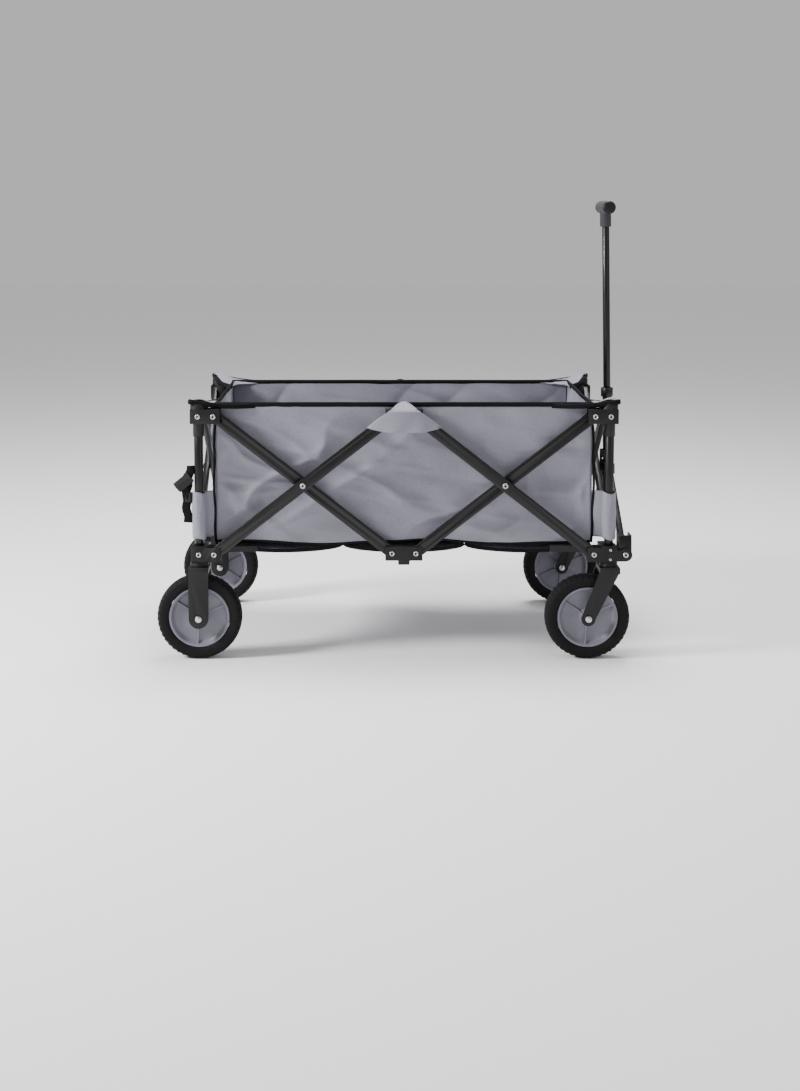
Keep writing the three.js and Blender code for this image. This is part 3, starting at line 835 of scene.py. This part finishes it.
class WAGON_OT_floor(bpy.types.Operator):
    """Lay the padded floor panels and the cloth under them"""

    bl_idname = "wagon.floor"
    bl_label = "Floor"

    def execute(self, context):
        pad = context.scene.wagon_sizes.pad
        for name, start, end, body, pleat in FLOOR_STRIPS:
            piece = self.cushion(f"floor_pad_{name}", start, end, pad, body)
            if name != "middle":
                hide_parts(f"floor_mat_{name}")
            fold_strip(piece)
            under = self.underside(name, start, end, body)
            fold_strip(under)
            tape = self.sling_tape(name, start, end, body)
            fold_strip(tape)
        return {"FINISHED"}

    def cushion(self, name, start, end, pad, body):
        """A crowned panel pinched at its stitched edges and quilted across."""
        columns, rows = 46, 70
        top, bottom = [], []
        for r in range(rows):
            for c in range(columns):
                u, v = c / (columns - 1), r / (rows - 1)
                edge = min(1.0, 9 * min(u, 1 - u), 12 * min(v, 1 - v))
                crown = math.sin(edge * math.pi / 2) ** 0.6
                quilt = 1 - 0.30 * max(0.0, 1 - abs(v - 0.5) * 40)
                x = MID_X + start + (end - start) * u
                y = -PAD_HALF + 2 * PAD_HALF * v
                ripple = 0.0008 * noise.noise(Vector((x * 30, y * 30, 4)))
                top.append(Vector((x, y, 0.2505 + (pad * 0.46 * quilt + ripple) * crown)))
                bottom.append(Vector((x, y, 0.2503 - pad * 0.40 * crown)))
        faces = grid_faces(rows, columns)
        below = [tuple(reversed([i + len(top) for i in face])) for face in faces]
        rim = [*range(columns)] + [r * columns + columns - 1 for r in range(1, rows)]
        rim += [(rows - 1) * columns + c for c in range(columns - 2, -1, -1)]
        rim += [r * columns for r in range(rows - 2, 0, -1)]
        sides = [(a, b, b + len(top), a + len(top)) for a, b in zip(rim, rim[1:] + rim[:1])]
        return new_piece(name, top + bottom, faces + below + sides, "mat", "mat_fabric", body)

    def sling_tape(self, name, start, end, body):
        """Black tape along the two long edges of the cloth under the floor."""
        edges = []
        for sy in SIDES.values():
            line = []
            for c in range(40):
                u = c / 39
                sag = SLING_SAG * math.sin(math.pi * u) ** 0.5
                line.append(Vector((MID_X + start + (end - start) * u, sy * SLING_HALF, 0.2375 - sag)))
            edges.append(tube_along(line, 0.0018, 0.0042))
        return new_piece(f"sling_tape_{name}", *joined(edges), "binding", "grey_fabric", body)

    def underside(self, name, start, end, body):
        """Cloth slung under the floor, sagging between its supports."""
        columns, rows = 50, 44
        points = []
        for r in range(rows):
            v = r / (rows - 1)
            for c in range(columns):
                u = c / (columns - 1)
                sag = SLING_SAG * math.sin(math.pi * u) ** 0.5 * (0.75 + 0.25 * math.cos(v * math.tau * 2))
                z = 0.2395 - sag + 0.0015 * noise.noise(Vector((u * 8, v * 8, start * 20)))
                x, y = MID_X + start + (end - start) * u, -SLING_HALF + 2 * SLING_HALF * v
                points.append(Vector((x, y, z)))
        piece = new_piece(f"sling_{name}", points, grid_faces(rows, columns), "mat", "mat_fabric", body)
        return solidify(piece, 0.0014)


# ---- Stage ----
# Each lamp's name, place, size in metres and power in watts
LAMPS = [
    ("key", (-2.5, -0.9, 1.7), 0.6, 125),
    ("fill", (2.6, -2.4, 1.5), 1.8, 14),
    ("top", (0.3, 0.5, 2.8), 1.4, 95),
]
LAMP_AIM = Vector((0, 0, 0.35))
CAMERA_PLACE = (MID_X - 0.067, -3.33, 0.955)
CAMERA_DOWN = 4.4  # degrees below level


class WAGON_OT_stage(bpy.types.Operator):
    """Set the floor, soft lights and camera"""

    bl_idname = "wagon.stage"
    bl_label = "Stage"

    def execute(self, context):
        scene = context.scene
        floor = bpy.data.meshes.new("studio_floor")
        reach = 14
        corners = [(-reach, -reach, 0), (reach, -reach, 0), (reach, reach, 0), (-reach, reach, 0)]
        floor.from_pydata(corners, [], [(0, 1, 2, 3)])
        surface = bpy.data.materials.new("studio_floor")
        surface.use_nodes = True
        shader = surface.node_tree.nodes["Principled BSDF"]
        shader.inputs["Base Color"].default_value = (0.97, 0.97, 0.97, 1)
        shader.inputs["Roughness"].default_value = 0.9
        floor.materials.append(surface)
        ground = bpy.data.objects.new("studio_floor", floor)
        scene.collection.objects.link(ground)
        world = bpy.data.worlds.new("studio")
        world.use_nodes = True
        world.node_tree.nodes["Background"].inputs[0].default_value = (1, 1, 1, 1)
        world.node_tree.nodes["Background"].inputs[1].default_value = 0.55
        scene.world = world
        for name, place, size, power in LAMPS:
            light = bpy.data.lights.new(name, "AREA")
            light.size = size
            light.energy = power
            lamp = bpy.data.objects.new(name, light)
            lamp.location = place
            lamp.rotation_euler = (LAMP_AIM - Vector(place)).to_track_quat("-Z", "Y").to_euler()
            scene.collection.objects.link(lamp)
        camera = bpy.data.cameras.new("camera")
        camera.lens = 49.6
        camera.sensor_width = 36
        camera.shift_x = 0.0257
        camera.shift_y = -0.208
        camera.clip_end = 60
        view = bpy.data.objects.new("camera", camera)
        view.location = CAMERA_PLACE
        view.rotation_euler = (math.radians(90 - CAMERA_DOWN), 0, 0)
        scene.collection.objects.link(view)
        scene.camera = view
        return {"FINISHED"}


class WAGON_PT_panel(bpy.types.Panel):
    """Sidebar list of the wagon's pieces"""

    bl_label = "Wagon"
    bl_idname = "WAGON_PT_panel"
    bl_space_type = "VIEW_3D"
    bl_region_type = "UI"
    bl_category = "Wagon"

    def draw(self, context):
        for operator in BUILD_ORDER:
            self.layout.operator(operator.bl_idname)
        for group in (context.scene.wagon_colours, context.scene.wagon_sizes):
            for name in group.bl_rna.properties.keys():
                if name not in ("rna_type", "name"):
                    self.layout.prop(group, name)


BUILD_ORDER = (
    WAGON_OT_frame, WAGON_OT_rivets, WAGON_OT_wheels, WAGON_OT_grip, WAGON_OT_basket,
    WAGON_OT_sleeves, WAGON_OT_flaps, WAGON_OT_pockets, WAGON_OT_strap, WAGON_OT_floor, WAGON_OT_stage,
)
CLASSES = (WagonColours, WagonSizes, *BUILD_ORDER, WAGON_PT_panel)


def register():
    for kind in CLASSES:
        bpy.utils.register_class(kind)
    bpy.types.Scene.wagon_colours = bpy.props.PointerProperty(type=WagonColours)
    bpy.types.Scene.wagon_sizes = bpy.props.PointerProperty(type=WagonSizes)


def unregister():
    del bpy.types.Scene.wagon_sizes
    del bpy.types.Scene.wagon_colours
    for kind in reversed(CLASSES):
        bpy.utils.unregister_class(kind)


def main():
    register()
    for operator in BUILD_ORDER:
        group, name = operator.bl_idname.split(".")
        getattr(getattr(bpy.ops, group), name)()


if __name__ == "__main__":
    main()
